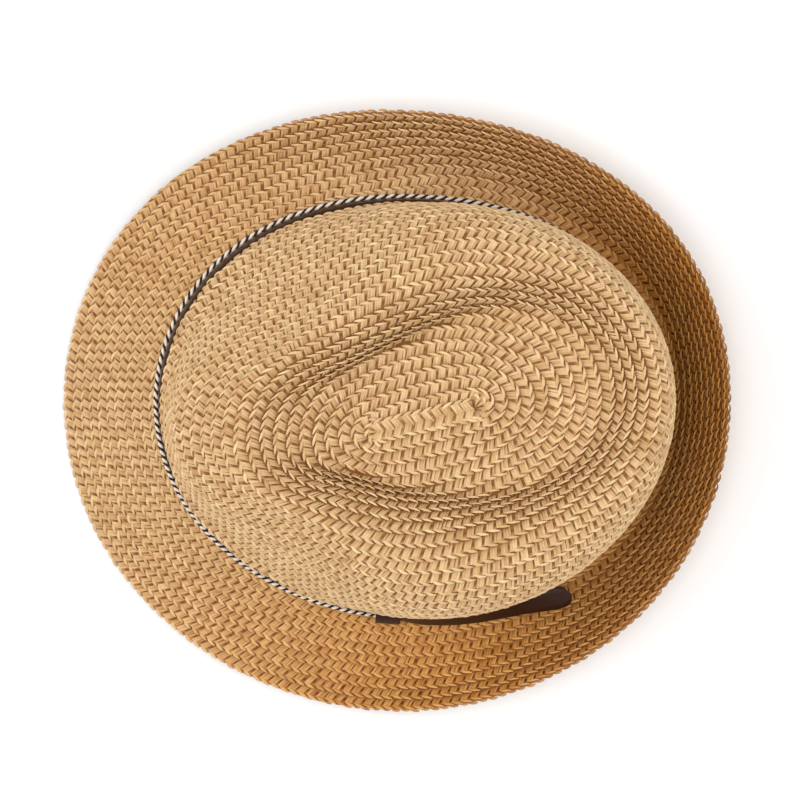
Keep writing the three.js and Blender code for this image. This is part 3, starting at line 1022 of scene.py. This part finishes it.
# Columns: out from the wall, up along it.
KEEPER_LINE = [(0.3, 12.4), (2.9, 12.4), (3.4, 11.9), (4.85, 0.6), (4.4, 0.0), (1.8, 0.0)]
foot, wall, forward, outward = beside(KEEPER_AT, 0.0, 0.0)
line = np.array(KEEPER_LINE)
ahead = np.gradient(line, axis=0)
ahead /= np.linalg.norm(ahead, axis=1, keepdims=True)
left = np.stack([-ahead[:, 1], ahead[:, 0]], 1)
profile = rounded_strip(KEEPER_WIDTH, LEATHER)
keeper_sections = []
for (out, up), (side_out, side_up) in zip(line, left):
    corners = [foot + forward * across + outward * (out + side_out * (proud + LEATHER / 2))
               + wall * (up + side_up * (proud + LEATHER / 2)) for across, proud in profile]
    keeper_sections.append(corners)
keeper = sweep("keeper_loop", np.array(keeper_sections), False, leather.material)
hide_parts("keeper")

# %% [markdown]
# ## Strap end
# The strip's free end passes under the keeper and runs on beside the crown. A flat strap bends
# easily one way only, so as the wall curves away its face turns up, until its rounded tip lies
# back on the curled brim. A cloth simulation could find that twist. A table of places and
# angles does it in a moment, and follows the picture more closely.

# %% Strap end
# Columns: distance from the keeper's middle, out, up, degrees that the face has turned up,
# and width.
STRAP = np.array([
    (-4.5, 2.86, 7.5, 6.5, 9.2),
    (5.5, 3.04, 7.4, 9, 9.2),
    (9.5, 3.6, 7.1, 15, 9.2),
    (13, 4, 6.9, 19, 9.2),
    (21, 4.5, 6.3, 25.5, 9.4),
    (36.5, 5.5, 5.4, 35, 9.8),
    (44.6, 5.9, 5, 41, 10.2),
    (52.4, 6.6, 4.2, 50, 10.5),
    (59.8, 8.2, 2.6, 61, 10.6),
    (66.8, 10.5, 0.3, 72, 10.7),
    (73.8, 12.7, -0.9, 80, 10.8),
])
steps = 72
head_turn = KEEPER_AT + np.linspace(-0.1, 1.4, 600)
head_line = ring_point("head", head_turn)
walked = np.concatenate([[0], np.cumsum(np.linalg.norm(np.diff(head_line, axis=0), axis=1))])
walked -= np.interp(KEEPER_AT, head_turn, walked)
where = np.linspace(STRAP[0, 0], STRAP[-1, 0], steps)


def smooth_column(column):
    """Smooth curve through one column of the strap's table."""
    x, y = STRAP[:, 0], STRAP[:, column]
    slope = np.gradient(y, x)
    k = np.clip(np.searchsorted(x, where, side="right") - 1, 0, len(x) - 2)
    h = x[k + 1] - x[k]
    t = (where - x[k]) / h
    return (y[k] * (1 + 2 * t) * (1 - t) ** 2 + h * slope[k] * t * (1 - t) ** 2
            + y[k + 1] * t * t * (3 - 2 * t) + h * slope[k + 1] * t * t * (t - 1))


middle, wall, forward, outward = beside(
    np.interp(where, walked, head_turn), smooth_column(2), smooth_column(1))
lean = np.radians(smooth_column(3))[:, None]
across = wall * np.cos(lean) - outward * np.sin(lean)
face = outward * np.cos(lean) + wall * np.sin(lean)
left = STRAP[-1, 0] - where
tip = smooth_column(4) / 2
half = np.where(left < tip, np.sqrt(np.maximum(tip ** 2 - (tip - left) ** 2, 0.3)), tip)
sections = []
for k in range(steps):
    outline = rounded_strip(2 * half[k], LEATHER, min(0.35, half[k] / 2))
    sections.append(middle[k] + outline[:, :1] * across[k] + outline[:, 1:] * face[k])
strap = sweep("strap_tip", np.array(sections), False, leather.material)
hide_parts("strap_end")
print("strap end is", round(where[-1] - where[0], 1), "mm long")

# %% [markdown]
# ## Floor
# The hat lies on a plain white table, as for a catalogue picture. A curved backdrop is usual in a
# studio, but from above only the table shows. It isn't part of the hat, so it is not attached to the
# hat's root body.

# %% Floor
floor_finish = Finish("white_table")
floor_finish.surface(Base_Color=(0.93, 0.93, 0.93), Roughness=0.9, Specular_IOR_Level=0.1)
size = 3000
corners = [(-size, -size, 0), (size, -size, 0), (size, size, 0), (-size, size, 0)]
table = mesh_object("table", corners, [(0, 1, 2, 3)], floor_finish.material, smooth=False)
print("table is", 2 * size * MM, "m wide")

# %% [markdown]
# ## Light
# A white sky alone would light the hat without any shadow, and a small lamp would make hard
# ones. Here a white sky lights it from all sides, and a broad area light from above gives the
# soft shadow inside the brim. Two weaker ones, from the front and from the back, show the plait
# in relief.

# %% Light
world = bpy.data.worlds.new("studio")
bpy.context.scene.world = world
world.use_nodes = True
world.node_tree.nodes["Background"].inputs[0].default_value = (1.0, 1.0, 1.0, 1.0)
world.node_tree.nodes["Background"].inputs[1].default_value = 0.62


def softbox(name, place, size, power):
    data = bpy.data.lights.new(name, "AREA")
    data.size = size
    data.energy = power
    light = bpy.data.objects.new(name, data)
    light.location = place
    direction = -light.location
    light.rotation_euler = direction.to_track_quat("-Z", "Y").to_euler()
    bpy.context.scene.collection.objects.link(light)
    return light


softbox("overhead", (0.15, -0.1, 2.0), 1.1, 17.0)
softbox("front_box", (-0.15, -1.5, 1.5), 1.2, 12.0)
softbox("back_box", (0.0, 1.4, 1.3), 1.0, 7.0)
bpy.context.scene.view_settings.view_transform = "Standard"

# %% [markdown]
# ## Count and finish
# The triangles are counted, since a real-time scene may use this hat many times.

# %% Count the triangles and finish
triangles = {piece.name: sum(len(face.vertices) - 2 for face in piece.data.polygons)
             for piece in bpy.data.objects if piece.type == "MESH" and not piece.hide_render}
print(len(triangles), "visible meshes,", sum(triangles.values()), "triangles, largest",
      max(triangles.values()))
